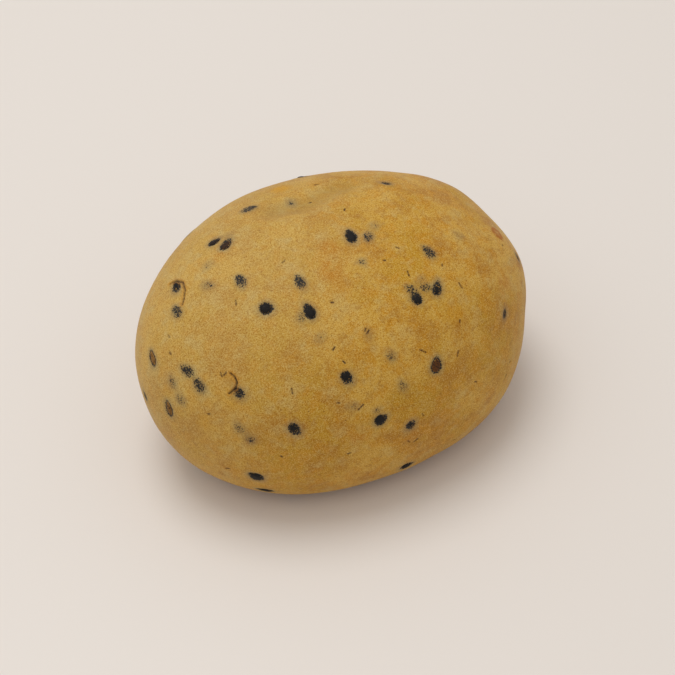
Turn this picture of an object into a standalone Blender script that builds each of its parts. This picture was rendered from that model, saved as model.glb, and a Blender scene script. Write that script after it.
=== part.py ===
"""A round-topped bread roll of smooth, thin-skinned dough, baked as one piece.

Metres, +Z up. The roll's long axis lies on X and its short plan axis on Y. The origin is on the
table, under the middle of the roll's bounding box.

The form is a stack of rings. Seen from above each ring is a rounded oval, and a profile says how wide
and how high each ring is: a flat foot, a side that rolls out of it up to the belly, and a dome.
"""

import math

import bmesh
import bpy

# Driving dimensions
LENGTH = 0.0840
WIDTH = 0.0632
HEIGHT = 0.0480

# The profile, as shares of the height and of the oval's radius
BELLY_LEVEL = 0.44
FOOT_SHARE = 0.66
DOME_POWER = 2.16

# What keeps the dough from being a perfect oval: shares of the radius or the height, and bearings
# in degrees anticlockwise from +X
OVAL_POWER = 2.0
EGG_SHARE = 0.009
LOBE_SHARE = 0.0177
LOBE_BEARING = 75.8
SHOULDER_SHARE = 0.0473
SHOULDER_BEARING = 149.3
CROWN_LEAN = (-0.0017, 0.0042)

# Fineness of the mesh
POINTS_PER_RING = 72
FOOT_RINGS = 3
SIDE_RINGS = 9
DOME_RINGS = 19

# Finish
CRUST_COLOUR = (0.60, 0.36, 0.12, 1.0)
CRUST_ROUGHNESS = 0.6


def clear_scene():
    for thing in list(bpy.data.objects):
        bpy.data.objects.remove(thing, do_unlink=True)


def oval_radius(bearing):
    """Radius of the roll seen from above, at its belly."""
    along = abs(math.cos(bearing) / (LENGTH / 2)) ** OVAL_POWER
    across = abs(math.sin(bearing) / (WIDTH / 2)) ** OVAL_POWER
    egg = EGG_SHARE * math.cos(bearing)
    lobes = LOBE_SHARE * math.cos(3 * (bearing - math.radians(LOBE_BEARING)))
    return (along + across) ** (-1 / OVAL_POWER) * (1 + egg + lobes)


def profile():
    """(share of the oval's radius, height) of each ring, from inside the foot to under the crown."""
    belly_height = BELLY_LEVEL * HEIGHT
    rings = [(FOOT_SHARE * step / FOOT_RINGS, 0.0) for step in range(1, FOOT_RINGS + 1)]
    for step in range(1, SIDE_RINGS + 1):
        turn = math.pi / 2 * step / SIDE_RINGS
        share = FOOT_SHARE + (1 - FOOT_SHARE) * math.sin(turn)
        rings.append((share, belly_height * (1 - math.cos(turn))))
    for step in range(1, DOME_RINGS):
        turn = math.pi / 2 * step / DOME_RINGS
        share = math.cos(turn) ** (2 / DOME_POWER)
        rise = math.sin(turn) ** (2 / DOME_POWER)
        rings.append((share, belly_height + (HEIGHT - belly_height) * rise))
    return rings


def dough_point(bearing, share, height):
    """One point of the surface: the oval, leaned and raised a little where the dough set unevenly."""
    level = height / HEIGHT
    radius = share * oval_radius(bearing)
    shoulder = SHOULDER_SHARE * math.cos(2 * (bearing - math.radians(SHOULDER_BEARING)))
    return (
        radius * math.cos(bearing) + CROWN_LEAN[0] * level,
        radius * math.sin(bearing) + CROWN_LEAN[1] * level,
        height * (1 + shoulder * share**2 * level),
    )


def ring_of_points(body, share, height):
    bearings = [2 * math.pi * step / POINTS_PER_RING for step in range(POINTS_PER_RING)]
    return [body.verts.new(dough_point(bearing, share, height)) for bearing in bearings]


def join_rings(body, lower, upper):
    for here in range(POINTS_PER_RING):
        after = (here + 1) % POINTS_PER_RING
        body.faces.new((lower[here], lower[after], upper[after], upper[here]))


def close_with_fan(body, ring, middle):
    for here in range(POINTS_PER_RING):
        body.faces.new((ring[here], ring[(here + 1) % POINTS_PER_RING], middle))


def stand_on_origin(body):
    """Move the middle of the plan's bounding box over the origin."""
    for axis in range(2):
        places = [point.co[axis] for point in body.verts]
        middle = (min(places) + max(places)) / 2
        for point in body.verts:
            point.co[axis] -= middle


def roll_mesh():
    body = bmesh.new()
    rings = [ring_of_points(body, share, height) for share, height in profile()]
    for lower, upper in zip(rings, rings[1:]):
        join_rings(body, lower, upper)
    close_with_fan(body, rings[0], body.verts.new(dough_point(0.0, 0.0, 0.0)))
    close_with_fan(body, rings[-1], body.verts.new(dough_point(0.0, 0.0, HEIGHT)))
    bmesh.ops.recalc_face_normals(body, faces=body.faces)
    stand_on_origin(body)
    mesh = bpy.data.meshes.new("bread_roll")
    body.to_mesh(mesh)
    body.free()
    mesh.shade_smooth()
    return mesh


def baked_dough():
    """Thin golden crust, softly matt."""
    material = bpy.data.materials.new("baked_dough")
    material.use_nodes = True
    shader = material.node_tree.nodes["Principled BSDF"]
    shader.inputs["Base Color"].default_value = CRUST_COLOUR
    shader.inputs["Roughness"].default_value = CRUST_ROUGHNESS
    shader.inputs["Metallic"].default_value = 0.0
    return material


def bread_roll():
    roll = bpy.data.objects.new("bread_roll", roll_mesh())
    roll.data.materials.append(baked_dough())
    bpy.context.scene.collection.objects.link(roll)


clear_scene()
bread_roll()
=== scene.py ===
# %% [markdown]
# # A sesame bread roll
#
# This lesson builds one small thing well: a smooth, chewy roll with black sesame seeds baked into
# its skin. A simple solid of the right size is already there, as the frame. Around it we make the
# skin that is seen, the seeds that break through it, and the finish of both.

# %% Load the frame
import math

import bmesh
import bpy
import numpy as np
from mathutils import Euler, Matrix, Vector
from mathutils.bvhtree import BVHTree
from mathutils.kdtree import KDTree


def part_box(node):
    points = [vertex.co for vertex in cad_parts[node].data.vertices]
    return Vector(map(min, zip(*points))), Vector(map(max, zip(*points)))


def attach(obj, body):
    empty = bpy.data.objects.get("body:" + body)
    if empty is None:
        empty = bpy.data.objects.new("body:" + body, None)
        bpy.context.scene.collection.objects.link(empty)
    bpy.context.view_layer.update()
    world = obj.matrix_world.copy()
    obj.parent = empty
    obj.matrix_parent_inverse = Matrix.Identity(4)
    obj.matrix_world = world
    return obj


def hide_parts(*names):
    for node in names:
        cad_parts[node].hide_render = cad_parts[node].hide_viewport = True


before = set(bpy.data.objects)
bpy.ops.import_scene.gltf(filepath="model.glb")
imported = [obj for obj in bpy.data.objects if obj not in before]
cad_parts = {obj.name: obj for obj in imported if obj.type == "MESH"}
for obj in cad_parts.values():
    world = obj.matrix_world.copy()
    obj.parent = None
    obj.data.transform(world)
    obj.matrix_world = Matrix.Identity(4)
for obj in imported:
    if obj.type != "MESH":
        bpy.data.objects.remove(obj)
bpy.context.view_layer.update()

MM = 0.001
BODY = "root"
SOLID = "bread_roll"

lowest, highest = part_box(SOLID)
size = highest - lowest
print("the solid roll is", [round(side / MM, 1) for side in size], "mm")

# %% [markdown]
# ## The camera
#
# A roll is looked at from above, as a diner sees it on a plate. The lens is a long one, so that the
# near side isn't swollen. The camera's turn is worked out from the direction that it looks in, which
# is a bearing round the roll and an angle down, plus a slight tilt of the head.

# %% Camera
CAMERA_PLACE = Vector((-0.10695, -0.18903, 0.24147))
LOOK_BEARING = 60.22
LOOK_DOWN = 45.996
HEAD_TILT = -1.344
LENS = 80.0


def camera_turn(bearing, down, tilt):
    """Rotation of a camera that looks along a bearing, so many degrees below the horizon."""
    upright = Euler((math.radians(90 - down), 0, math.radians(bearing - 90))).to_matrix()
    return upright @ Matrix.Rotation(math.radians(tilt), 3, "Z")


def add_camera():
    camera = bpy.data.objects.new("camera", bpy.data.cameras.new("camera"))
    camera.data.lens = LENS
    camera.data.sensor_width = 36.0
    camera.data.clip_start = 0.01
    turn = camera_turn(LOOK_BEARING, LOOK_DOWN, HEAD_TILT)
    camera.matrix_world = Matrix.Translation(CAMERA_PLACE) @ turn.to_4x4()
    bpy.context.scene.collection.objects.link(camera)
    bpy.context.scene.camera = camera


add_camera()
print("the camera is", round(CAMERA_PLACE.length, 3), "m from the middle of the base")

# %% [markdown]
# ## Writing node trees as sums
#
# Both the shapes and the finishes below are made with nodes. A tree of maths nodes is hard to read
# when it is written link by link, so one small class stands for a socket and lets Python's own signs
# add the nodes. Numbers go through Math nodes, directions through Vector Math, and colours through
# Mix, because a Math node would turn a colour grey.


# %% Sockets as numbers
class Wire:
    """One output socket of a tree, or only the tree when nothing is made yet."""

    def __init__(self, tree, socket=None):
        self.tree = tree
        self.socket = socket

    def make(self, kind, settings=None, values=None, take=0):
        """Add a node: its settings first, then the values or links of its sockets."""
        node = self.tree.nodes.new(kind)
        for name, setting in (settings or {}).items():
            setattr(node, name, setting)
        for name, value in (values or {}).items():
            if isinstance(value, Wire):
                self.tree.links.new(value.socket, node.inputs[name])
            else:
                node.inputs[name].default_value = value
        return Wire(self.tree, node.outputs[take])

    def sum(self, operation, *others):
        """A Math node, or a Vector Math node when this wire carries a direction."""
        if self.socket.type == "VECTOR":
            return self.vector_sum(operation, *others)
        terms = dict(enumerate((self,) + others))
        return self.make("ShaderNodeMath", {"operation": operation}, terms)

    def vector_sum(self, operation, *others):
        if operation == "MULTIPLY" and not is_direction(others[0]):
            terms = {0: self, 3: others[0]}
            return self.make("ShaderNodeVectorMath", {"operation": "SCALE"}, terms)
        terms = dict(enumerate((self,) + others))
        return self.make("ShaderNodeVectorMath", {"operation": operation}, terms)

    def __add__(self, other):
        return self.sum("ADD", other)

    __radd__ = __add__

    def __sub__(self, other):
        return self.sum("SUBTRACT", other)

    def __rsub__(self, other):
        return self * -1 + other

    def __mul__(self, other):
        return self.sum("MULTIPLY", other)

    __rmul__ = __mul__

    def __truediv__(self, other):
        return self.sum("DIVIDE", other)

    def __pow__(self, other):
        return self.sum("POWER", other)

    def part(self, axis):
        """The X, Y or Z of a direction."""
        return self.make("ShaderNodeSeparateXYZ", {}, {0: self}, axis)

    def length(self):
        return self.make("ShaderNodeVectorMath", {"operation": "LENGTH"}, {0: self}, "Value")

    def dot(self, other):
        terms = {0: self, 1: other}
        return self.make("ShaderNodeVectorMath", {"operation": "DOT_PRODUCT"}, terms, "Value")

    def step(self, start, end):
        """0 before start, 1 past end, and a soft ramp between. Start may be above end."""
        terms = {0: self, 1: start, 2: end, 3: 0.0, 4: 1.0}
        return self.make("ShaderNodeMapRange", {"interpolation_type": "SMOOTHSTEP"}, terms)

    def noise(self, cell, detail=2.0, roughness=0.5):
        """Soft noise from 0 to 1 with patches about one cell across, in metres."""
        values = {"Vector": self, "Scale": 1 / cell, "Detail": detail, "Roughness": roughness}
        return self.make("ShaderNodeTexNoise", {}, values)

    def blend(self, under, over):
        """A colour: this wire is how much of over covers under."""
        settings = {"data_type": "RGBA", "clamp_factor": True}
        return self.make("ShaderNodeMix", settings, {0: self, 6: under, 7: over}, 2)


def is_direction(value):
    if isinstance(value, Wire):
        return value.socket.type == "VECTOR"
    return not isinstance(value, (int, float))


# %% [markdown]
# Geometry Nodes trees all start and end in the same way: a group with named inputs, put on an object
# as a modifier, read once as a plain mesh, and then taken off again. Three helpers do that.


# %% Trees on objects
SOCKET_KINDS = {
    float: "NodeSocketFloat",
    int: "NodeSocketInt",
    bpy.types.Object: "NodeSocketObject",
    bpy.types.Material: "NodeSocketMaterial",
}


def new_tree(name, inputs):
    """A Geometry Nodes tree with named inputs, and a wire for each input by name."""
    tree = bpy.data.node_groups.new(name, "GeometryNodeTree")
    tree.interface.new_socket("Geometry", in_out="INPUT", socket_type="NodeSocketGeometry")
    tree.interface.new_socket("Geometry", in_out="OUTPUT", socket_type="NodeSocketGeometry")
    for label, kind in inputs.items():
        tree.interface.new_socket(label, in_out="INPUT", socket_type=SOCKET_KINDS[kind])
    start = tree.nodes.new("NodeGroupInput")
    return {socket.name: Wire(tree, socket) for socket in start.outputs if socket.name}


def end_tree(geometry):
    finish = geometry.tree.nodes.new("NodeGroupOutput")
    geometry.tree.links.new(geometry.socket, finish.inputs["Geometry"])
    return geometry.tree


def grown(base, tree, settings, name):
    """The plain mesh object that a tree makes from a base object."""
    modifier = base.modifiers.new(tree.name, "NODES")
    modifier.node_group = tree
    for item in tree.interface.items_tree:
        if item.in_out == "INPUT" and item.name in settings:
            modifier[item.identifier] = settings[item.name]
    bpy.context.view_layer.update()
    graph = bpy.context.evaluated_depsgraph_get()
    mesh = bpy.data.meshes.new_from_object(
        base.evaluated_get(graph), preserve_all_data_layers=True, depsgraph=graph
    )
    base.modifiers.remove(modifier)
    made = bpy.data.objects.new(name, mesh)
    bpy.context.scene.collection.objects.link(made)
    for slot in reversed(range(len(mesh.materials))):
        if mesh.materials[slot] is None:
            mesh.materials.pop(index=slot)
    print(name, "has", sum(len(face.vertices) - 2 for face in mesh.polygons), "triangles")
    return made


# %% [markdown]
# ## A smooth guide
#
# The solid is a mesh of flat triangles, good for weight and contact but too coarse to look at. A copy
# of it is merged, its triangles are paired into squares, and Subdivision Surface rounds it off. This
# guide is never shown. It is what the skin is laid on and the seeds are measured from.


# %% Guide
def mesh_object(name, mesh):
    made = bpy.data.objects.new(name, mesh)
    bpy.context.scene.collection.objects.link(made)
    return made


def rounded_guide(levels):
    body = bmesh.new()
    body.from_mesh(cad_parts[SOLID].data)
    bmesh.ops.remove_doubles(body, verts=body.verts, dist=0.001 * MM)
    bmesh.ops.join_triangles(
        body, faces=body.faces, angle_face_threshold=math.pi, angle_shape_threshold=math.pi
    )
    mesh = bpy.data.meshes.new("guide")
    body.to_mesh(mesh)
    body.free()
    guide = mesh_object("guide", mesh)
    rounding = guide.modifiers.new("rounding", "SUBSURF")
    rounding.levels = levels
    rounding.render_levels = levels
    return guide


GUIDE_LEVELS = 2
BELLY_SHARE = 0.44
heart = Vector((0, 0, BELLY_SHARE * size.z))
guide = rounded_guide(GUIDE_LEVELS)


def surface_of(thing):
    """A search tree of an object's faces, for rays thrown at them."""
    return BVHTree.FromObject(thing, bpy.context.evaluated_depsgraph_get())


def outward(bearing, rise):
    """Unit direction out of the heart of the roll, from a bearing round it and a rise, in degrees."""
    turn, lift = math.radians(bearing), math.radians(rise)
    level = math.cos(lift)
    return Vector((level * math.cos(turn), level * math.sin(turn), math.sin(lift)))


def on_crust(surface, bearing, rise):
    """The point of the crust in that direction, and which way the crust faces there."""
    point, normal, _, _ = surface.ray_cast(heart, outward(bearing, rise))
    return point, normal


def crust_axes(normal):
    """Level direction along the crust, and the uphill one."""
    across = Vector((0, 0, 1)).cross(normal).normalized()
    return across, normal.cross(across)


guide_surface = surface_of(guide)
crown, _ = on_crust(guide_surface, 0, 90)
print("the guide's crown is", round(crown.z / MM, 2), "mm up")

# %% [markdown]
# ## A ball of squares
#
# The skin needs small, even faces. A ball with poles would crowd its faces at the top, so this one
# starts as a cube, cut into squares and blown up to a sphere. The tangent keeps the squares near the
# cube's edges as large as those in the middle of its sides.


# %% Ball
def ball_of_squares(cells):
    ball = bmesh.new()
    bmesh.ops.create_cube(ball, size=2)
    bmesh.ops.subdivide_edges(ball, edges=ball.edges, cuts=cells - 1, use_grid_fill=True)
    for vertex in ball.verts:
        vertex.co = Vector([math.tan(x * math.pi / 4) for x in vertex.co]).normalized()
    return ball


def as_object(body, name):
    """A mesh object from a bmesh, which is freed."""
    mesh = bpy.data.meshes.new(name)
    body.to_mesh(mesh)
    body.free()
    return mesh_object(name, mesh)


# %% [markdown]
# ## The loaf
#
# Dough never rises into a perfect dome. It swells a little here and sinks there, and a wide, shallow
# fold crosses the back of the crown, where the dough was tucked. The first tree throws each point of
# the ball outwards onto the guide and adds these broad forms. All later steps work on this loaf.

# %% Broad forms
# (bearing, rise, reach in degrees, height in millimetres) of each swelling, negative for a hollow
SWELLINGS = (
    (-48, -20, 30, 0.7),  # the belly bulges low on the right
    (-110, -30, 45, 0.4),  # and less so along the front
    (175, -5, 30, 0.3),  # the left end is blunt
    (65, 37, 30, -0.3),  # the back slopes away from the crown
    (-30, -5, 20, -0.3),  # the right end is drawn in
    (15, 24, 16, 0.4),  # two low knuckles on the right shoulder, with a dip between them
    (-3, 18, 15, -0.4),
    (-16, 9, 16, 0.3),
)
FOLD = ((123, 65), (100, 72), (70, 70), (47, 61))


def line_points(surface, directions, steps):
    """Points along a line on the crust, with so many steps between its given directions."""
    points = []
    for here, there in zip(directions, directions[1:]):
        for step in range(steps):
            share = step / steps
            bearing, rise = (a + (b - a) * share for a, b in zip(here, there))
            points.append(on_crust(surface, bearing, rise)[0])
    points.append(on_crust(surface, *directions[-1])[0])
    return points


def lines_object(name, lines):
    points, edges = [], []
    for line in lines:
        first = len(points)
        points += line
        edges += [(first + i, first + i + 1) for i in range(len(line) - 1)]
    mesh = bpy.data.meshes.new(name)
    mesh.from_pydata(points, edges, [])
    return mesh_object(name, mesh)


def shape_of(thing):
    """The geometry of an object input."""
    return thing.make(
        "GeometryNodeObjectInfo", {"transform_space": "ORIGINAL"}, {"Object": thing}, "Geometry"
    )


def landed(start, surface, easing):
    """Each point thrown outwards from the heart onto a surface, then eased to take out its facets."""
    place = start.make("GeometryNodeInputPosition")
    middle = start.make("FunctionNodeInputVector", {"vector": tuple(heart)})
    landing = start.make(
        "GeometryNodeRaycast", {},
        {"Target Geometry": surface, "Source Position": middle, "Ray Direction": place, "Ray Length": 1.0},
        "Hit Position",
    )
    thrown = start.make("GeometryNodeSetPosition", {}, {"Geometry": start, "Position": landing})
    eased = start.make("GeometryNodeBlurAttribute", {"data_type": "FLOAT_VECTOR"}, {0: place, 1: easing})
    return start.make("GeometryNodeSetPosition", {}, {"Geometry": thrown, "Position": eased})


def rested(geometry):
    """Nothing below the table: points that would be are lifted to it."""
    place = geometry.make("GeometryNodeInputPosition")
    lifted = place.vector_sum("MAXIMUM", (-1.0, -1.0, 0.0))
    return geometry.make("GeometryNodeSetPosition", {}, {"Geometry": geometry, "Position": lifted})


def distance_to(thing, element="FACES"):
    """How far each point is from another object, in metres."""
    return thing.make(
        "GeometryNodeProximity", {"target_element": element}, {"Geometry": shape_of(thing)}, "Distance"
    )


def loaf_tree():
    wires = new_tree("loaf", {
        "Guide": bpy.types.Object, "Fold": bpy.types.Object, "Fold depth": float, "Fold width": float,
        "Unevenness": float, "Fullness": float,
    })
    start = wires["Geometry"]
    loaf = landed(start, shape_of(wires["Guide"]), 2)
    place = start.make("GeometryNodeInputPosition")
    way = (place - tuple(heart)).vector_sum("NORMALIZE")
    relief = (place.noise(20 * MM, 1.0) - 0.5 + (place.noise(6 * MM, 1.0) - 0.5) * 0.2) * wires["Unevenness"]
    relief = relief + wires["Fullness"]
    for bearing, rise, reach, height in SWELLINGS:
        near = way.dot(outward(bearing, rise)).step(math.cos(math.radians(reach)), 1.0)
        relief = relief + near * (height * MM)
    fold = distance_to(wires["Fold"], "EDGES") / wires["Fold width"]
    relief = relief - fold.step(1.0, 0.0) * wires["Fold depth"]
    free = place.part("Z").step(0.2 * MM, 5.0 * MM)
    outwards = start.make("GeometryNodeInputNormal")
    loaf = start.make("GeometryNodeSetPosition", {}, {"Geometry": loaf, "Offset": outwards * (relief * free)})
    return end_tree(rested(loaf))


LOAF_CELLS = 52
fold = lines_object("fold", [line_points(guide_surface, FOLD, 4)])
coarse_ball = as_object(ball_of_squares(LOAF_CELLS), "coarse_ball")
loaf = grown(coarse_ball, loaf_tree(), {
    "Guide": guide, "Fold": fold, "Fold depth": 1.1 * MM, "Fold width": 5.0 * MM,
    "Unevenness": 0.5 * MM, "Fullness": 0.30 * MM,
}, "loaf")
crust_surface = surface_of(loaf)

# %% [markdown]
# ## Where the seeds lie
#
# On the side that is shown, each seed has a row of its own. A seed's place is a bearing and a rise from
# the roll's heart, its turn is measured from level, and its kind says how it sits: bare on the surface,
# half under the skin, seen only through a slit, or wholly veiled by dough so thin that it darkens. Its
# tip says which end is the higher one.

# %% Seeds laid one by one
# kind: length, width, thickness and depth of the seed's middle under the skin, all in millimetres,
# and how brown it is: 0 black, 1 brown, 2 tan
SEED_KINDS = {
    "bare": (3.0, 2.0, 1.2, 0.24, 0.0),
    "fat": (3.0, 2.4, 1.3, 0.26, 0.0),
    "blunt": (2.55, 2.25, 1.5, 0.34, 0.0),
    "narrow": (3.1, 1.35, 1.0, 0.20, 0.0),
    "short": (2.3, 1.3, 1.0, 0.20, 0.1),
    "tan": (3.1, 1.45, 1.0, 0.24, 1.9),
    "dark": (2.8, 1.9, 1.1, 0.26, 0.30),
    "brown": (3.0, 2.3, 1.1, 0.28, 0.8),
    "half": (2.9, 1.9, 1.2, 0.40, 0.0),
    "peeping": (2.4, 1.8, 1.2, 0.50, 0.0),
    "star": (2.4, 2.1, 1.2, 0.54, 0.0),
    "slit": (1.9, 0.80, 1.0, 0.42, 0.3),
    "veiled": (3.1, 2.0, 1.0, 0.62, 0.0),
    "dim": (2.8, 1.9, 1.0, 0.74, 0.0),
    "soft": (2.8, 1.9, 1.0, 0.83, 0.0),
    "deep": (2.6, 1.9, 1.0, 0.94, 0.0),
    "speck": (1.5, 1.0, 0.8, 0.56, 0.0),
    "faint": (1.5, 1.1, 0.8, 0.74, 0.0),
}

# kind: (bearing, rise, turn, tip) of each seed, in degrees. Tip is how far the pointed end is raised
LAID_SEEDS = {
    "bare": ((-132, 49, 107, 0), (-68, 79, 82, 3)),
    "fat": ((-144, -11, 140, 4),),
    "blunt": ((-153, 46, 3, -12), (-103, 7, 15, -10), (-92, -24, 12, 0)),
    "narrow": ((-143, -21, 168, 0), (74, 39, 104, 0)),
    "short": ((153, 47, 118, 0),),
    "tan": ((-169, 7, 115, 3), (180, 16, 155, 4)),
    "dark": ((158, 51, 140, -3),),
    "brown": ((-78, 19, 68, 0),),
    "half": (
        (-114, 25, 298, -18), (-132, 9, 306, -9), (-71, 44, 100, -12), (168, 33, 187, 16), (-59, 41, 40, -4),
    ),
    "peeping": ((-150, 19.4, 133, 9),),
    "star": ((-92, 0, 42, 0),),
    "slit": ((180, 3, 151, 0), (-43, 15, 43, 6), (22, 53, 16, 0), (-19, 15, 68, -4)),
    "veiled": (
        (-173, 49, 146, 9), (-142, 59, 110, 9), (177, 30, 178, 3), (-167, 20, 170, 4), (-162, 18, 140, 0),
        (-44, 50, 81, 4), (126, 55, 151, 5),
    ),
    "dim": ((-51, 73, 21, -5), (-70, 47, 126, 5), (-63, 44, 152, 3)),
    "soft": (
        (-95, 30, 115, -6), (-93, 17, 108, 6), (-148, 9, 125, 5), (-145, 6, 123, -5), (-170, 15, 133, 3),
        (-166, 12, 135, 0), (134, 31, 150, 0), (177, 41, 37, 6), (-135, 47, 60, 0),
    ),
    "deep": (
        (-33, 72, 2, 4), (-26, 41, 68, 0), (-102, 39, 84, 5), (-113, 15, 165, 0), (-63, 47, 20, 9),
        (167, 44, 120, 0), (-125, 40, 30, 0), (152, 52, 140, 0),
    ),
    "speck": ((102, 66, 154, 0),),
    "faint": ((-86, 67, 161, 0), (-104, 11, 20, 0)),
}


def seed_frame(bearing, rise, turn, depth, tip):
    """Place and rotation of a seed: X along it, Z out of the crust, one end tipped up."""
    point, normal = on_crust(crust_surface, bearing, rise)
    across, uphill = crust_axes(normal)
    angle = math.radians(turn)
    along = across * math.cos(angle) + uphill * math.sin(angle)
    basis = Matrix((along, normal.cross(along), normal)).transposed()
    basis = basis @ Matrix.Rotation(math.radians(-tip), 3, "Y")
    return point - normal * depth, basis.to_euler()


def points_with(name, points, values):
    """A mesh of loose points that carries named values, each a list of numbers or of triples."""
    mesh = bpy.data.meshes.new(name)
    mesh.from_pydata(points, [], [])
    for label, numbers in values.items():
        kind = "FLOAT_VECTOR" if np.ndim(numbers) == 2 else "FLOAT"
        field = mesh.attributes.new(label, kind, "POINT")
        field.data.foreach_set("vector" if kind == "FLOAT_VECTOR" else "value", np.ravel(numbers))
    return mesh_object(name, mesh)


def laid_seeds():
    places, turned, sizes, depths, browns = [], [], [], [], []
    for kind, rows in LAID_SEEDS.items():
        length, width, thickness, depth, brown = SEED_KINDS[kind]
        for bearing, rise, turn, tip in rows:
            place, rotation = seed_frame(bearing, rise, turn, depth * MM, tip)
            places.append(place)
            turned.append(tuple(rotation))
            sizes.append((length * MM, width * MM, thickness * MM))
            depths.append(depth * MM)
            browns.append(brown)
    values = {"turned": turned, "seed_size": sizes, "depth": depths, "brown": browns}
    return points_with("laid_seeds", places, values)


seed_places = laid_seeds()
print(len(seed_places.data.vertices), "seeds are laid one by one")

# %% [markdown]
# ## Sowing the rest, and giving every seed its shape
#
# The far side and the underside carry about as many seeds, and no one counts those, so Geometry Nodes
# sow them. Distribute Points keeps them a few millimetres apart, and random numbers from a fixed seed
# give each its turn, size and depth. The places laid one by one join them, and one sesame seed is then
# instanced on every place: a sphere drawn out along X, narrowed to a tip and flattened.

# %% Seed tree
SHOWN_FROM = outward(-120, 44)
HIDDEN_BELOW = -0.06
# least and most of each random size
SOWN_LENGTH = (2.6 * MM, 3.2 * MM)
SOWN_WIDTH = (1.5 * MM, 2.1 * MM)
SOWN_THICKNESS = (0.95 * MM, 1.25 * MM)
SOWN_DEPTH = (0.15 * MM, 0.90 * MM)
SOWN_TIP = (-0.25, 0.25)
SEED_SIDES = 22
SEED_RINGS = 14
PIT_CELL = 0.45 * MM
DUST_REACH = 0.16 * MM


def seed_shape(start, sides, rings):
    """One sesame seed, a unit long, wide and thick, with its pointed end at +X."""
    ball = start.make(
        "GeometryNodeMeshUVSphere", {}, {"Segments": sides, "Rings": rings, "Radius": 0.5}, "Mesh"
    )
    place = start.make("GeometryNodeInputPosition")
    along, side, up = place.part("Z"), place.part("X"), place.part("Y")
    taper = 1 - 0.5 * (along + 0.5) ** 2.2
    rim = 1 - 0.18 * (up * 2) ** 4
    shape = start.make(
        "ShaderNodeCombineXYZ", {}, {"X": along, "Y": side * taper, "Z": up * taper ** 0.6 * rim}
    )
    return start.make("GeometryNodeSetPosition", {}, {"Geometry": ball, "Position": shape})


def attribute(start, name, kind="FLOAT"):
    return start.make("GeometryNodeInputNamedAttribute", {"data_type": kind}, {"Name": name})


def store(geometry, name, value, kind="FLOAT"):
    settings = {"data_type": kind, "domain": "POINT"}
    values = {"Geometry": geometry, "Name": name, "Value": value}
    return geometry.make("GeometryNodeStoreNamedAttribute", settings, values)


def random_between(start, low, high, seed):
    return start.make("FunctionNodeRandomValue", {"data_type": "FLOAT"}, {2: low, 3: high, 8: seed}, 1)


def compare(value, operation, limit):
    return value.make("FunctionNodeCompare", {"data_type": "FLOAT", "operation": operation},
                      {0: value, 1: limit})


def both(first, second):
    return first.make("FunctionNodeBooleanMath", {"operation": "AND"}, {0: first, 1: second})


def sown_places(wires):
    """Random places on the loaf where the roll isn't shown, with the values that laid ones have."""
    start = wires["Geometry"]
    surface = shape_of(wires["Loaf"])
    facing = start.make("GeometryNodeInputNormal").dot(SHOWN_FROM)
    hidden = compare(facing, "LESS_THAN", HIDDEN_BELOW)
    spread = start.make(
        "GeometryNodeDistributePointsOnFaces",
        {"distribute_method": "POISSON"},
        {"Mesh": surface, "Selection": hidden, "Distance Min": wires["Seed spacing"],
         "Density Max": wires["Seeds per square metre"], "Seed": wires["Random seed"]},
    )
    scatter = spread.socket.node
    normal = Wire(start.tree, scatter.outputs["Normal"])
    upright = Wire(start.tree, scatter.outputs["Rotation"])
    spin = start.make("FunctionNodeAxisAngleToRotation", {},
                      {"Axis": (0, 0, 1), "Angle": random_between(start, 0.0, math.tau, 1)})
    tip = start.make("FunctionNodeAxisAngleToRotation", {},
                     {"Axis": (0, 1, 0), "Angle": random_between(start, *SOWN_TIP, 2)})
    spun = start.make("FunctionNodeRotateRotation", {"rotation_space": "LOCAL"}, {0: upright, 1: spin})
    tipped = start.make("FunctionNodeRotateRotation", {"rotation_space": "LOCAL"}, {0: spun, 1: tip})
    least, most = SOWN_DEPTH
    depth = random_between(start, 0.0, 1.0, 3) ** 0.8 * (most - least) + least
    sizes = start.make(
        "ShaderNodeCombineXYZ", {},
        {"X": random_between(start, *SOWN_LENGTH, 4), "Y": random_between(start, *SOWN_WIDTH, 5),
         "Z": random_between(start, *SOWN_THICKNESS, 6)},
    )
    brown = random_between(start, 0.0, 1.0, 7) ** 5
    turned = start.make("FunctionNodeRotationToEuler", {}, {0: tipped})
    points = store(spread, "turned", turned, "FLOAT_VECTOR")
    points = store(points, "seed_size", sizes, "FLOAT_VECTOR")
    points = store(points, "brown", brown)
    points = store(points, "depth", depth)
    inward = normal * -1 * attribute(start, "depth")
    points = start.make("GeometryNodeSetPosition", {}, {"Geometry": points, "Offset": inward})
    return start.make("GeometryNodePointsToVertices", {}, {"Points": points})


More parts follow.
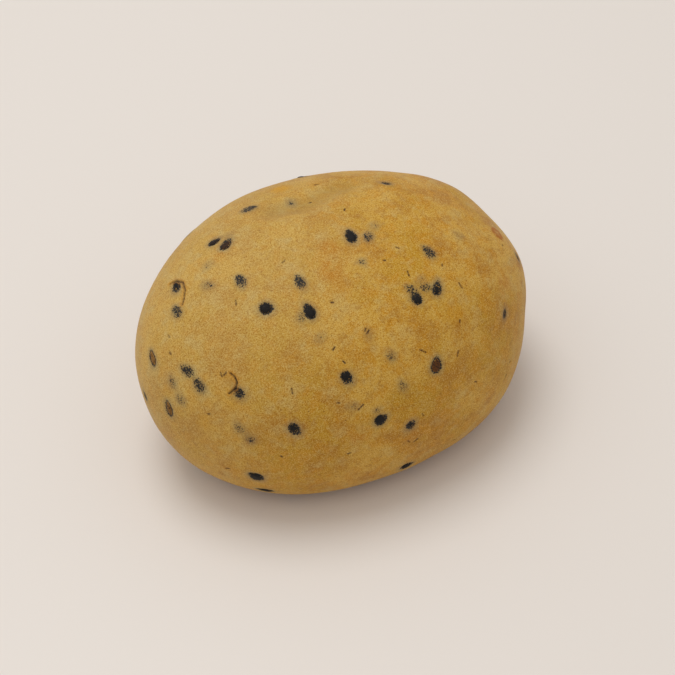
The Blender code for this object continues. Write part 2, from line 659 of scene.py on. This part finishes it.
def seeds_tree(name):
    wires = new_tree(name, {
        "Loaf": bpy.types.Object, "Seed spacing": float, "Seeds per square metre": float,
        "Random seed": int, "Shallowest": float, "Deepest": float, "Roughening": float,
        "Hull": bpy.types.Material,
    })
    start = wires["Geometry"]
    joined = start.make("GeometryNodeJoinGeometry", {}, {"Geometry": start})
    start.tree.links.new(sown_places(wires).socket, joined.socket.node.inputs[0])
    depth = attribute(start, "depth")
    wanted = both(compare(depth, "GREATER_EQUAL", wires["Shallowest"]),
                  compare(depth, "LESS_THAN", wires["Deepest"]))
    turned = start.make("FunctionNodeEulerToRotation", {}, {0: attribute(start, "turned", "FLOAT_VECTOR")})
    seeds = start.make(
        "GeometryNodeInstanceOnPoints", {},
        {"Points": joined, "Selection": wanted, "Instance": seed_shape(start, SEED_SIDES, SEED_RINGS),
         "Rotation": turned, "Scale": attribute(start, "seed_size", "FLOAT_VECTOR")},
    )
    seeds = start.make("GeometryNodeRealizeInstances", {}, {"Geometry": seeds})
    place = start.make("GeometryNodeInputPosition")
    pits = place.noise(PIT_CELL, 2.0) - 0.5
    dents = start.make("GeometryNodeInputNormal") * (pits * wires["Roughening"])
    seeds = start.make("GeometryNodeSetPosition", {}, {"Geometry": seeds, "Offset": dents})
    seeds = store(rested(seeds), "dusted", distance_to(wires["Loaf"]).step(DUST_REACH, 0.0))
    seeds = start.make("GeometryNodeSetShadeSmooth", {}, {"Geometry": seeds})
    return end_tree(start.make("GeometryNodeSetMaterial", {}, {"Geometry": seeds, "Material": wires["Hull"]}))


# %% [markdown]
# ## The sesame hull
#
# A black sesame seed is matt and finely netted, with a grey bloom where the net catches the light. A
# few are brown. Noise at a fraction of a millimetre gives the net, and a value that each seed carries
# says how brown it is.


# %% Hull finish
def new_finish(name, constants):
    """A material with one Principled shader, its fixed values set on its own sockets."""
    finish = bpy.data.materials.new(name)
    finish.use_nodes = True
    shader = finish.node_tree.nodes["Principled BSDF"]
    for label, value in constants.items():
        shader.inputs[label].default_value = value
    return finish, shader, Wire(finish.node_tree)


def plug(shader, **wires):
    for label, wire in wires.items():
        wire.tree.links.new(wire.socket, shader.inputs[label.replace("_", " ")])


def carried(start, name):
    """A value that the mesh's own points carry."""
    return start.make("ShaderNodeAttribute", {"attribute_name": name}, {}, "Fac")


HULL_BLACK = (0.011, 0.0095, 0.0088, 1)
HULL_BLOOM = (0.052, 0.044, 0.034, 1)
HULL_BROWN = (0.135, 0.045, 0.005, 1)
HULL_TAN = (0.25, 0.125, 0.030, 1)
DOUGH_DUST = (0.34, 0.19, 0.045, 1)


def sesame_hull():
    finish, shader, start = new_finish("sesame_hull", {"Specular IOR Level": 0.15})
    place = start.make("ShaderNodeTexCoord", {}, {}, "Object")
    net = place.noise(0.20 * MM, 3.0, 0.6)
    streaks = place.noise(0.35 * MM, 2.0)
    colour = (carried(start, "brown") * streaks.step(0.25, 0.60)).blend(HULL_BLACK, HULL_BROWN)
    colour = ((carried(start, "brown") - 1) * streaks.step(0.30, 0.55)).blend(colour, HULL_TAN)
    colour = (net.step(0.56, 0.78) * 0.8).blend(colour, HULL_BLOOM)
    dust = place.noise(0.24 * MM, 2.0, 0.6) - (0.80 - carried(start, "dusted") * 0.26)
    colour = dust.step(-0.03, 0.05).blend(colour, DOUGH_DUST)
    relief = start.make("ShaderNodeBump", {}, {"Strength": 0.7, "Distance": 0.08 * MM, "Height": net})
    plug(shader, Base_Color=colour, Roughness=0.70 - net * 0.2, Normal=relief)
    return finish


hull = sesame_hull()

# %% [markdown]
# The same tree runs twice. Once it keeps the seeds that break through the skin, which are shown. Once
# it keeps the ones that lie wholly under it: they only serve to raise and darken the skin above them.

# %% Seeds
VEILED_FROM = 0.60 * MM
sesame = seeds_tree("sesame")
sowing = {
    "Loaf": loaf, "Seed spacing": 6.5 * MM, "Seeds per square metre": 14000.0, "Random seed": 11,
    "Roughening": 0.16 * MM, "Hull": hull,
}
shallow = {**sowing, "Shallowest": 0.0, "Deepest": VEILED_FROM}
sunk = {**sowing, "Shallowest": VEILED_FROM, "Deepest": 9.0}
bare_seeds = grown(seed_places, sesame, shallow, "sesame_seeds")
buried_seeds = grown(seed_places, sesame, sunk, "buried_seeds")

# %% [markdown]
# ## Tears and nicks
#
# The skin tore in two places as it set: a crescent beside one seed, and a loop round another. Tiny
# nicks look like pin scratches. Each is a short line on the crust.

# %% Tears
# lists of (bearing, rise)
CRESCENT = ((-154.5, 24.2), (-152.8, 23.6), (-151.5, 22.2), (-151.4, 20.6), (-152.8, 18.6))
LOOP = ((164, 31), (165, 33.5), (168, 35.3), (172, 35), (175, 33.5), (176.5, 32.3))

# (bearing, rise, turn, length in millimetres)
NICKS = (
    (-64, 52, 74, 1.0), (-81, 26, 136, 1.3), (-110, 14, 33, 1.3), (-50, -6, 43, 1.1), (70, 59, 27, 0.8),
    (-179, 24, 169, 0.6), (-175, 21, 169, 0.6), (-47, 44, 48, 0.3), (-157, 11, 17, 0.4),
    (-136, -1, 136, 0.4), (-72, -21, 174, 0.4), (-87, 2, 110, 0.6), (-64, 3, 145, 0.5),
    (-47, -2, 17, 0.3), (-115, -4, 11, 0.5), (-152, -9, 20, 0.7), (-50, 35, 83, 1.1),
    (-115, 31, 123, 0.6), (-157, 23, 123, 0.7), (25, 79, 102, 0.6), (-68, 62, 154, 0.4),
    (-92, 0, 100, 1.8), (-92, 0, 165, 1.6), (-156, 23.5, 60, 0.7), (-103, 41, 50, 0.5), (-68, 18, 57, 1.0),
    (-119, 36, 48, 0.7), (-102, 40, 44, 0.7), (-118, 17, 167, 0.4), (-119, 53, 167, 0.4),
    (-167, 43, 120, 0.9), (-164, 64, 60, 0.6), (84, 70, 20, 0.4), (-51, 61, 120, 0.5), (-61, 27, 60, 0.4),
    (-20, 23, 140, 0.3), (-90, -9, 30, 0.9), (-93, -8, 120, 0.7), (-134, 22, 96, 0.9),
)


def nick_points(bearing, rise, turn, length):
    point, normal = on_crust(crust_surface, bearing, rise)
    across, uphill = crust_axes(normal)
    angle = math.radians(turn)
    half = (across * math.cos(angle) + uphill * math.sin(angle)) * (length * MM / 2)
    return [point - half, point, point + half]


tears = lines_object("tears", [line_points(crust_surface, line, 3) for line in (CRESCENT, LOOP)])
nicks = lines_object("nicks", [nick_points(*nick) for nick in NICKS])

# %% [markdown]
# ## Finer squares where they matter
#
# The skin starts from a finer ball. Its squares near seeds and tears are cut again, once or twice, so
# that a seed's rim is sharp and the plain crust stays light.


# %% Fine ball
def nearness(objects):
    """A search tree over the points of some objects."""
    points = [vertex.co for thing in objects for vertex in thing.data.vertices]
    tree = KDTree(len(points))
    for index, point in enumerate(points):
        tree.insert(point, index)
    tree.balance()
    return tree


def cut_near(ball, tree, reach):
    """Cut each square in four where its middle, thrown onto the crust, is within reach of a point."""
    chosen = set()
    for face in ball.faces:
        point = crust_surface.ray_cast(heart, face.calc_center_median())[0]
        if tree.find(point)[2] < reach:
            chosen.update(face.edges)
    bmesh.ops.subdivide_edges(ball, edges=list(chosen), cuts=1, use_grid_fill=True)
    for vertex in ball.verts:
        vertex.co.normalize()


SKIN_CELLS = 74
ball = ball_of_squares(SKIN_CELLS)
cut_near(ball, nearness([bare_seeds, buried_seeds, tears, nicks]), 1.1 * MM)
cut_near(ball, nearness([bare_seeds, tears, nicks]), 0.5 * MM)
fine_ball = as_object(ball, "fine_ball")
print("the ball has", len(fine_ball.data.polygons), "faces")

# %% [markdown]
# ## The baked skin
#
# One tree turns the ball into the skin. It throws each point outwards from the heart onto the loaf,
# and then works by distance: how far is this point from a buried seed, a bare one, a tear, the fold?
# Each distance but the fold's moves the skin a little in or out, and each is also stored on the points
# as a number from 0 to 1, which the finish reads later; the fold's number only places painted shade
# in the crease. So the colour always sits exactly where the shape does.


# %% Skin tree
# (bearing, rise, radius in millimetres, strength) of stains where oil or sugar coloured the crust
YELLOW_STAINS = (
    (94, 54, 3.2, 1.0), (-115, 28, 1.8, 0.6), (-152, 17, 3.0, 0.4), (-62, 30, 3.0, 0.3), (-158, 8, 2.5, 0.3),
)
RUSTY_STAINS = (
    (-112, 3, 3.0, 1.0), (-120, 67, 3.5, 1.0), (-120, 76, 3.0, 1.0), (-50, 35, 1.0, 1.0), (-92, -6, 2.2, 1.0),
    (-35, 20, 3.5, 1.0), (-68, 18, 0.8, 1.0), (165, 48, 2.0, 1.0),
)
# bearing, rise and radius of the scorched ring, and half the width of its line
SCORCH = (-15, 24, 1.15)
SCORCH_WIDTH = 0.75 * MM

# how far from a seed, a tear or the fold each mark reaches
VEIL_OVER_SUNK = 0.8 * MM
VEIL_OVER_BARE = 0.65 * MM
HALO_ROUND_SUNK = 1.3 * MM
HALO_ROUND_BARE = 1.6 * MM
CUT_REACH = 0.28 * MM
FLAP_REACH = 0.35 * MM
# how far the painted shade along the fold reaches, and how near the fold it is full
FOLD_SHADE_REACH = (3.6 * MM, 1.0 * MM)


def round_spots(start, spots, hardness=0.3):
    """1 inside round spots on the crust and 0 outside them, with soft rims."""
    place = start.make("GeometryNodeInputPosition")
    covered = None
    for bearing, rise, radius, strength in spots:
        middle = on_crust(crust_surface, bearing, rise)[0]
        spot = (place - tuple(middle)).length().step(radius * MM, radius * hardness * MM) * strength
        covered = spot if covered is None else covered.sum("MAXIMUM", spot)
    return covered


def hump(distance, middle, width):
    """A rounded ridge that is 1 at a distance of middle, and 0 a width away from it."""
    return ((distance - middle).sum("ABSOLUTE") / width).step(1.0, 0.0)


def skin_tree():
    wires = new_tree("baked_skin", {
        "Loaf": bpy.types.Object, "Bare seeds": bpy.types.Object, "Buried seeds": bpy.types.Object,
        "Tears": bpy.types.Object, "Nicks": bpy.types.Object, "Fold": bpy.types.Object,
        "Swell over seeds": float, "Lip round seeds": float, "Tear depth": float, "Tear width": float,
        "Pebbling": float, "Base hollow": float, "Crust": bpy.types.Material,
    })
    start = wires["Geometry"]
    skin = landed(start, shape_of(wires["Loaf"]), 3)
    bare = distance_to(wires["Bare seeds"])
    buried = distance_to(wires["Buried seeds"])
    tear = distance_to(wires["Tears"], "EDGES")
    nick = distance_to(wires["Nicks"], "EDGES")
    over = (buried - 0.05 * MM).step(VEIL_OVER_SUNK, 0.0)
    skin = store(skin, "veil", over.sum("MAXIMUM", bare.step(VEIL_OVER_BARE, 0.0)))
    round_bare = bare.step(HALO_ROUND_BARE, 0.0)
    skin = store(skin, "halo", round_bare.sum("MAXIMUM", buried.step(HALO_ROUND_SUNK, 0.0)))
    skin = store(skin, "torn", tear.step(CUT_REACH, 0.05 * MM))
    skin = store(skin, "nicked", nick.step(CUT_REACH, 0.06 * MM))
    skin = store(skin, "flap", hump(tear, FLAP_REACH, FLAP_REACH))
    # painted shade: how near the fold is, so that the finish darkens the crease
    skin = store(skin, "folded", distance_to(wires["Fold"], "EDGES").step(*FOLD_SHADE_REACH))
    skin = store(skin, "yellowed", round_spots(start, YELLOW_STAINS))
    skin = store(skin, "rusty", round_spots(start, RUSTY_STAINS))
    scorch_middle = tuple(on_crust(crust_surface, *SCORCH[:2])[0])
    from_scorch = (start.make("GeometryNodeInputPosition") - scorch_middle).length()
    scorched = hump(from_scorch, SCORCH[2] * MM, SCORCH_WIDTH)
    skin = store(skin, "scorched", scorched)

    place = start.make("GeometryNodeInputPosition")
    free = place.part("Z").step(0.2 * MM, 3.0 * MM)
    swell = buried.step(1.6 * MM, 0.2 * MM) * wires["Swell over seeds"]
    lip = (hump(bare, 0.6 * MM, 0.6 * MM) - bare.step(0.45 * MM, 0.0)) * wires["Lip round seeds"]
    groove = (tear / wires["Tear width"]).step(1.0, 0.0) * -1
    flap = hump(tear, 0.45 * MM, 0.4 * MM) * 0.5
    scratch = nick.step(0.3 * MM, 0.0) * -0.4
    pebbles = (place.noise(1.1 * MM, 2.0) - 0.5) * wires["Pebbling"]
    relief = swell + lip + (groove + flap + scratch) * wires["Tear depth"] + pebbles + scorched * (0.12 * MM)
    hollow = place.noise(7 * MM, 3.0, 0.6).step(0.42, 0.62) * wires["Base hollow"]
    outwards = start.make("GeometryNodeInputNormal")
    hollow = hollow.sum("MAXIMUM", bare.step(0.5 * MM, 0.1 * MM) * (0.06 * MM))
    up = start.make("ShaderNodeCombineXYZ", {}, {"Z": hollow * (1 - free)})
    skin = start.make(
        "GeometryNodeSetPosition", {}, {"Geometry": skin, "Offset": outwards * (relief * free) + up}
    )
    skin = start.make("GeometryNodeSetShadeSmooth", {}, {"Geometry": rested(skin)})
    skin = start.make("GeometryNodeRealizeInstances", {}, {"Geometry": skin})
    return end_tree(start.make("GeometryNodeSetMaterial", {}, {"Geometry": skin, "Material": wires["Crust"]}))


# %% [markdown]
# ## The crust's finish
#
# Close up, the crust is a translucent golden skin full of fine grain: paler flour specks, darker
# toasted ones, and wide patches that run from straw to ochre. Over a buried seed it turns grey, and
# the seed itself shows only as a stipple of dark dots. The stipple comes from comparing a fine noise
# with how near the seed is, so that the dots crowd together over its middle. Two marks are painted
# light and shade: the side that faces left and up is painted paler, as painted light, and the crust
# along the fold is painted darker and duller, as painted shade in the crease.

# %% Crust finish
STRAW = (0.605, 0.340, 0.045, 1)
GOLD = (0.505, 0.262, 0.009, 1)
OCHRE = (0.405, 0.165, 0.004, 1)
TOAST = (0.32, 0.122, 0.004, 1)
ORANGE = (0.54, 0.238, 0.001, 1)
# pale dough for the floury patches, and also the painted light on the side that faces left and up
PALE_DOUGH_AND_PAINTED_LIGHT = (0.54, 0.370, 0.115, 1)
YELLOW = (0.61, 0.295, 0.001, 1)
RUST = (0.49, 0.195, 0.005, 1)
FLOUR = (0.71, 0.520, 0.180, 1)
CRUMB = (0.31, 0.120, 0.002, 1)
FLECK_BROWN = (0.15, 0.056, 0.005, 1)
# painted shade: the dull, darker colour laid along the fold's crease
FOLD_SHADE_PAINT = (0.33, 0.205, 0.050, 1)
HALO_GREY = (0.185, 0.162, 0.105, 1)
SEED_SHADOW = (0.020, 0.017, 0.014, 1)
SCORCH_BROWN = (0.41, 0.136, 0.001, 1)
TEAR_BROWN = (0.060, 0.022, 0.006, 1)
BASE_BROWN = (0.27, 0.115, 0.022, 1)
# painted light: the side that faces this way, to the left and up, is painted paler
PAINTED_LIGHT_SIDE = outward(160, 35)


def baked_crust():
    finish, shader, start = new_finish(
        "baked_crust",
        {"Specular IOR Level": 0.20, "Sheen Weight": 0.07, "Sheen Roughness": 0.5,
         "Sheen Tint": (1.0, 0.93, 0.84, 1.0)},
    )
    place = start.make("ShaderNodeTexCoord", {}, {}, "Object")
    wide = place.noise(15 * MM, 2.0, 0.5)
    colour = wide.step(0.38, 0.60).blend(STRAW, GOLD)
    patches = (place + (0.3, 0.1, 0.2)).noise(7 * MM, 3.0, 0.6)
    colour = (patches.step(0.44, 0.66) * 0.85).blend(colour, OCHRE)
    mottle = place.noise(1.8 * MM, 3.0, 0.6)
    colour = (mottle.step(0.54, 0.70) * 0.5).blend(colour, TOAST)
    warmth = (place + (0.1, 0.4, 0.2)).noise(2.6 * MM, 2.0, 0.6)
    colour = (warmth.step(0.48, 0.62) * 0.65).blend(colour, ORANGE)
    # painted light: the crust is painted paler on the side that faces left and up, as if lit from there; the
    # floury and dusty patches below are real pale dough
    pale = (place - tuple(heart)).vector_sum("NORMALIZE").dot(PAINTED_LIGHT_SIDE).step(0.1, 1.0) * 0.44
    floury = (place + (0.2, 0.2, 0.4)).noise(4 * MM, 3.0, 0.6).step(0.50, 0.68)
    dusty = (place + (0.6, 0.1, 0.2)).noise(1.6 * MM, 3.0, 0.6).step(0.50, 0.66)
    colour = (pale + floury * 0.42 + dusty * 0.22).blend(colour, PALE_DOUGH_AND_PAINTED_LIGHT)
    colour = (carried(start, "rusty") * mottle.step(0.30, 0.6) * 0.75).blend(colour, RUST)
    grain = place.noise(0.36 * MM, 2.0, 0.7) * 0.4 + place.noise(0.18 * MM, 1.0, 0.7) * 0.6
    colour = (grain.step(0.50, 0.66) * 0.52).blend(colour, FLOUR)
    colour = (carried(start, "yellowed") * 0.8).blend(colour, YELLOW)
    colour = (carried(start, "scorched") * 2.0).blend(colour, SCORCH_BROWN)
    colour = (grain.step(0.50, 0.34) * 0.75).blend(colour, CRUMB)
    flecks = (place + (0.5, 0.3, 0.1)).noise(0.6 * MM, 3.0, 0.6)
    colour = (flecks.step(0.68, 0.75) * 0.7).blend(colour, FLECK_BROWN)

    # painted shade along the fold: the crease is darkened and dulled in colour
    colour = (carried(start, "folded") * 0.38).blend(colour, FOLD_SHADE_PAINT)
    halo, veil = carried(start, "halo"), carried(start, "veil")
    colour = (halo * (0.20 + place.noise(0.5 * MM, 2.0, 0.6) * 0.5)).blend(colour, HALO_GREY)
    colour = (veil ** 2 * 0.5).blend(colour, SEED_SHADOW)
    dots = place.noise(0.28 * MM, 2.0, 0.6) - (0.74 - veil * 0.36)
    colour = (dots.step(-0.02, 0.03) * veil.step(0.05, 0.3)).blend(colour, SEED_SHADOW)
    ragged = place.noise(0.5 * MM, 2.0, 0.6).step(0.40, 0.55)
    colour = (carried(start, "flap") * 0.4).blend(colour, RUST)
    torn = carried(start, "torn") * (0.55 + ragged * 0.45)
    cut = torn.sum("MAXIMUM", carried(start, "nicked") * (0.5 + ragged * 0.5))
    colour = (cut * 0.95).blend(colour, TEAR_BROWN)
    under = place.part("Z").step(4 * MM, 0.3 * MM)
    colour = (under * (0.62 + patches * 0.4)).blend(colour, BASE_BROWN)

    fine = place.noise(0.30 * MM, 3.0, 0.65)
    relief = start.make(
        "ShaderNodeBump", {}, {"Strength": 0.5, "Distance": 0.09 * MM, "Height": fine + mottle * 0.5}
    )
    plug(shader, Base_Color=colour, Roughness=0.45 + grain * 0.3, Normal=relief)
    return finish


crust = baked_crust()

# %% Skin
skin = grown(fine_ball, skin_tree(), {
    "Loaf": loaf, "Bare seeds": bare_seeds, "Buried seeds": buried_seeds, "Tears": tears,
    "Nicks": nicks, "Fold": fold, "Swell over seeds": 0.14 * MM, "Lip round seeds": 0.07 * MM,
    "Tear depth": 0.32 * MM, "Tear width": 0.24 * MM, "Pebbling": 0.03 * MM,
    "Base hollow": 0.35 * MM, "Crust": crust,
}, "roll_skin")

# %% [markdown]
# ## Clearing the bench
#
# The guide, the ball, the buried seeds and the lines have done their work. They are removed, so that
# only the skin and the bare seeds remain, and both are tied to the frame.

# %% Tie to the frame
for helper in (guide, coarse_ball, fold, loaf, seed_places, buried_seeds, tears, nicks, fine_ball):
    bpy.data.objects.remove(helper, do_unlink=True)

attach(skin, BODY)
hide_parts(SOLID)
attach(bare_seeds, BODY)

# %% [markdown]
# ## Table and light
#
# A plain pale table and soft light: a large lamp above and behind, which leaves a soft shadow towards
# the viewer, and an even glow from all round.

# %% Stage
TABLE_SIDE = 4.0
TABLE_WHITE = (0.80, 0.745, 0.69, 1)
# bearing, rise, distance, width and watts
WINDOW = (102, 75, 0.9, 0.50, 2.7)
ROOM = (165, 62, 0.9, 0.9, 0.9)
GLOW = (1.0, 0.975, 0.95, 1)
GLOW_STRENGTH = 0.60


def add_table():
    half = TABLE_SIDE / 2
    corners = [(-half, -half, 0), (half, -half, 0), (half, half, 0), (-half, half, 0)]
    mesh = bpy.data.meshes.new("table")
    mesh.from_pydata(corners, [], [(0, 1, 2, 3)])
    table = mesh_object("table", mesh)
    finish, shader, _ = new_finish("pale_table", {"Base Color": TABLE_WHITE, "Roughness": 0.5})
    mesh.materials.append(finish)


def add_lamp(name, bearing, rise, away, side, watts):
    lamp = bpy.data.objects.new(name, bpy.data.lights.new(name, "AREA"))
    lamp.data.shape = "DISK"
    lamp.data.size = side
    lamp.data.energy = watts
    way = outward(bearing, rise)
    lamp.location = heart + way * away
    lamp.rotation_euler = way.to_track_quat("Z", "Y").to_euler()
    bpy.context.scene.collection.objects.link(lamp)


def add_glow():
    world = bpy.data.worlds.new("glow")
    world.use_nodes = True
    background = world.node_tree.nodes["Background"]
    background.inputs["Color"].default_value = GLOW
    background.inputs["Strength"].default_value = GLOW_STRENGTH
    bpy.context.scene.world = world


add_table()
add_lamp("window", *WINDOW)
add_lamp("room", *ROOM)
add_glow()
bpy.context.scene.view_settings.view_transform = "Standard"
